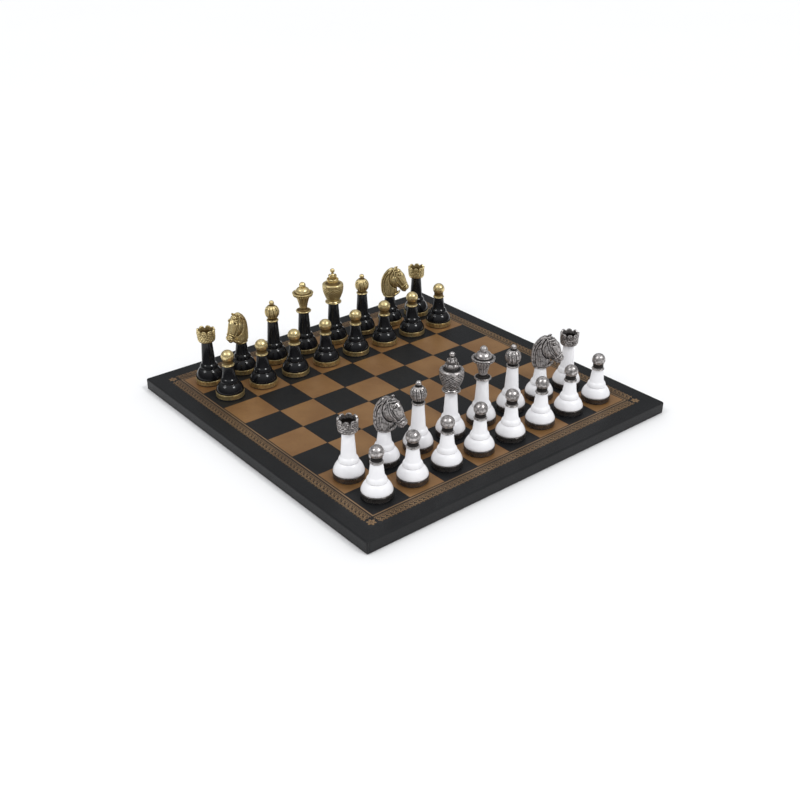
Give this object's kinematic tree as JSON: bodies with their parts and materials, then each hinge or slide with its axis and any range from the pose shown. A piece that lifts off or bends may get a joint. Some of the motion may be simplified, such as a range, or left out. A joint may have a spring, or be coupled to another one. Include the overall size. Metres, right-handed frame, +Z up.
{
  "type": "chess set with board",
  "caption": "Leatherette-covered chessboard with stamped foil squares and lace border, set with metal-headed turned wooden chess pieces that lift off one by one.",
  "frame": {"origin": "middle of the board's underside, on the surface it rests on", "axes": "+Z up; +X along the ranks, from the left-hand file to the right-hand file seen from the white side; +Y from the white side to the black side"},
  "size_m": [0.33, 0.33, 0.0865],
  "materials": {
    "fibreboard": "raw",
    "leatherette": "satin grained",
    "lining": "matte",
    "bronze_foil": "satin stamped foil",
    "gold_foil": "satin stamped foil",
    "antique_silver": "antiqued, polished on the high spots",
    "antique_gold": "antiqued, polished on the high spots",
    "dark_silver": "blackened",
    "white_lacquer": "gloss lacquer",
    "black_lacquer": "gloss lacquer",
    "felt": "felt"
  },
  "bodies": {
    "board": {"board_core": "fibreboard", "board_cover": "leatherette", "board_lining": "lining", "bronze_squares": "bronze_foil", "border_line": "gold_foil", "border_lace": "gold_foil", "corner_rosettes": "gold_foil"},
    "white_left_rook": {"white_left_rook_head": "antique_silver", "white_left_rook_body": "white_lacquer"},
    "white_left_knight": {"white_left_knight_head": "antique_silver", "white_left_knight_body": "white_lacquer"},
    "white_left_bishop": {"white_left_bishop_head": "antique_silver", "white_left_bishop_body": "white_lacquer"},
    "white_king": {"white_king_head": "antique_silver", "white_king_body": "white_lacquer"},
    "white_queen": {"white_queen_head": "antique_silver", "white_queen_body": "white_lacquer"},
    "white_right_bishop": {"white_right_bishop_head": "antique_silver", "white_right_bishop_body": "white_lacquer"},
    "white_right_knight": {"white_right_knight_head": "antique_silver", "white_right_knight_body": "white_lacquer"},
    "white_right_rook": {"white_right_rook_head": "antique_silver", "white_right_rook_body": "white_lacquer"},
    "white_pawn_1": {"white_pawn_1": "white_lacquer"},
    "white_pawn_2": {"white_pawn_2": "white_lacquer"},
    "white_pawn_3": {"white_pawn_3": "white_lacquer"},
    "white_pawn_4": {"white_pawn_4": "white_lacquer"},
    "white_pawn_5": {"white_pawn_5": "white_lacquer"},
    "white_pawn_6": {"white_pawn_6": "white_lacquer"},
    "white_pawn_7": {"white_pawn_7": "white_lacquer"},
    "white_pawn_8": {"white_pawn_8": "white_lacquer"},
    "black_left_rook": {"black_left_rook_head": "antique_gold", "black_left_rook_body": "black_lacquer"},
    "black_left_knight": {"black_left_knight_head": "antique_gold", "black_left_knight_body": "black_lacquer"},
    "black_left_bishop": {"black_left_bishop_head": "antique_gold", "black_left_bishop_body": "black_lacquer"},
    "black_queen": {"black_queen_head": "antique_gold", "black_queen_body": "black_lacquer"},
    "black_king": {"black_king_head": "antique_gold", "black_king_body": "black_lacquer"},
    "black_right_bishop": {"black_right_bishop_head": "antique_gold", "black_right_bishop_body": "black_lacquer"},
    "black_right_knight": {"black_right_knight_head": "antique_gold", "black_right_knight_body": "black_lacquer"},
    "black_right_rook": {"black_right_rook_head": "antique_gold", "black_right_rook_body": "black_lacquer"},
    "black_pawn_1": {"black_pawn_1": "black_lacquer"},
    "black_pawn_2": {"black_pawn_2": "black_lacquer"},
    "black_pawn_3": {"black_pawn_3": "black_lacquer"},
    "black_pawn_4": {"black_pawn_4": "black_lacquer"},
    "black_pawn_5": {"black_pawn_5": "black_lacquer"},
    "black_pawn_6": {"black_pawn_6": "black_lacquer"},
    "black_pawn_7": {"black_pawn_7": "black_lacquer"},
    "black_pawn_8": {"black_pawn_8": "black_lacquer"}
  },
  "joints": [
    {"name": "white_left_rook_lift", "type": "slide", "parent": "board", "child": "white_left_rook", "axis": [0, 0, 1], "range_m": [0, 0.085]},
    {"name": "white_left_knight_lift", "type": "slide", "parent": "board", "child": "white_left_knight", "axis": [0, 0, 1], "range_m": [0, 0.085]},
    {"name": "white_left_bishop_lift", "type": "slide", "parent": "board", "child": "white_left_bishop", "axis": [0, 0, 1], "range_m": [0, 0.085]},
    {"name": "white_king_lift", "type": "slide", "parent": "board", "child": "white_king", "axis": [0, 0, 1], "range_m": [0, 0.085]},
    {"name": "white_queen_lift", "type": "slide", "parent": "board", "child": "white_queen", "axis": [0, 0, 1], "range_m": [0, 0.085]},
    {"name": "white_right_bishop_lift", "type": "slide", "parent": "board", "child": "white_right_bishop", "axis": [0, 0, 1], "range_m": [0, 0.085]},
    {"name": "white_right_knight_lift", "type": "slide", "parent": "board", "child": "white_right_knight", "axis": [0, 0, 1], "range_m": [0, 0.085]},
    {"name": "white_right_rook_lift", "type": "slide", "parent": "board", "child": "white_right_rook", "axis": [0, 0, 1], "range_m": [0, 0.085]},
    {"name": "white_pawn_1_lift", "type": "slide", "parent": "board", "child": "white_pawn_1", "axis": [0, 0, 1], "range_m": [0, 0.085]},
    {"name": "white_pawn_2_lift", "type": "slide", "parent": "board", "child": "white_pawn_2", "axis": [0, 0, 1], "range_m": [0, 0.085]},
    {"name": "white_pawn_3_lift", "type": "slide", "parent": "board", "child": "white_pawn_3", "axis": [0, 0, 1], "range_m": [0, 0.085]},
    {"name": "white_pawn_4_lift", "type": "slide", "parent": "board", "child": "white_pawn_4", "axis": [0, 0, 1], "range_m": [0, 0.085]},
    {"name": "white_pawn_5_lift", "type": "slide", "parent": "board", "child": "white_pawn_5", "axis": [0, 0, 1], "range_m": [0, 0.085]},
    {"name": "white_pawn_6_lift", "type": "slide", "parent": "board", "child": "white_pawn_6", "axis": [0, 0, 1], "range_m": [0, 0.085]},
    {"name": "white_pawn_7_lift", "type": "slide", "parent": "board", "child": "white_pawn_7", "axis": [0, 0, 1], "range_m": [0, 0.085]},
    {"name": "white_pawn_8_lift", "type": "slide", "parent": "board", "child": "white_pawn_8", "axis": [0, 0, 1], "range_m": [0, 0.085]},
    {"name": "black_left_rook_lift", "type": "slide", "parent": "board", "child": "black_left_rook", "axis": [0, 0, 1], "range_m": [0, 0.085]},
    {"name": "black_left_knight_lift", "type": "slide", "parent": "board", "child": "black_left_knight", "axis": [0, 0, 1], "range_m": [0, 0.085]},
    {"name": "black_left_bishop_lift", "type": "slide", "parent": "board", "child": "black_left_bishop", "axis": [0, 0, 1], "range_m": [0, 0.085]},
    {"name": "black_queen_lift", "type": "slide", "parent": "board", "child": "black_queen", "axis": [0, 0, 1], "range_m": [0, 0.085]},
    {"name": "black_king_lift", "type": "slide", "parent": "board", "child": "black_king", "axis": [0, 0, 1], "range_m": [0, 0.085]},
    {"name": "black_right_bishop_lift", "type": "slide", "parent": "board", "child": "black_right_bishop", "axis": [0, 0, 1], "range_m": [0, 0.085]},
    {"name": "black_right_knight_lift", "type": "slide", "parent": "board", "child": "black_right_knight", "axis": [0, 0, 1], "range_m": [0, 0.085]},
    {"name": "black_right_rook_lift", "type": "slide", "parent": "board", "child": "black_right_rook", "axis": [0, 0, 1], "range_m": [0, 0.085]},
    {"name": "black_pawn_1_lift", "type": "slide", "parent": "board", "child": "black_pawn_1", "axis": [0, 0, 1], "range_m": [0, 0.085]},
    {"name": "black_pawn_2_lift", "type": "slide", "parent": "board", "child": "black_pawn_2", "axis": [0, 0, 1], "range_m": [0, 0.085]},
    {"name": "black_pawn_3_lift", "type": "slide", "parent": "board", "child": "black_pawn_3", "axis": [0, 0, 1], "range_m": [0, 0.085]},
    {"name": "black_pawn_4_lift", "type": "slide", "parent": "board", "child": "black_pawn_4", "axis": [0, 0, 1], "range_m": [0, 0.085]},
    {"name": "black_pawn_5_lift", "type": "slide", "parent": "board", "child": "black_pawn_5", "axis": [0, 0, 1], "range_m": [0, 0.085]},
    {"name": "black_pawn_6_lift", "type": "slide", "parent": "board", "child": "black_pawn_6", "axis": [0, 0, 1], "range_m": [0, 0.085]},
    {"name": "black_pawn_7_lift", "type": "slide", "parent": "board", "child": "black_pawn_7", "axis": [0, 0, 1], "range_m": [0, 0.085]},
    {"name": "black_pawn_8_lift", "type": "slide", "parent": "board", "child": "black_pawn_8", "axis": [0, 0, 1], "range_m": [0, 0.085]}
  ]
}
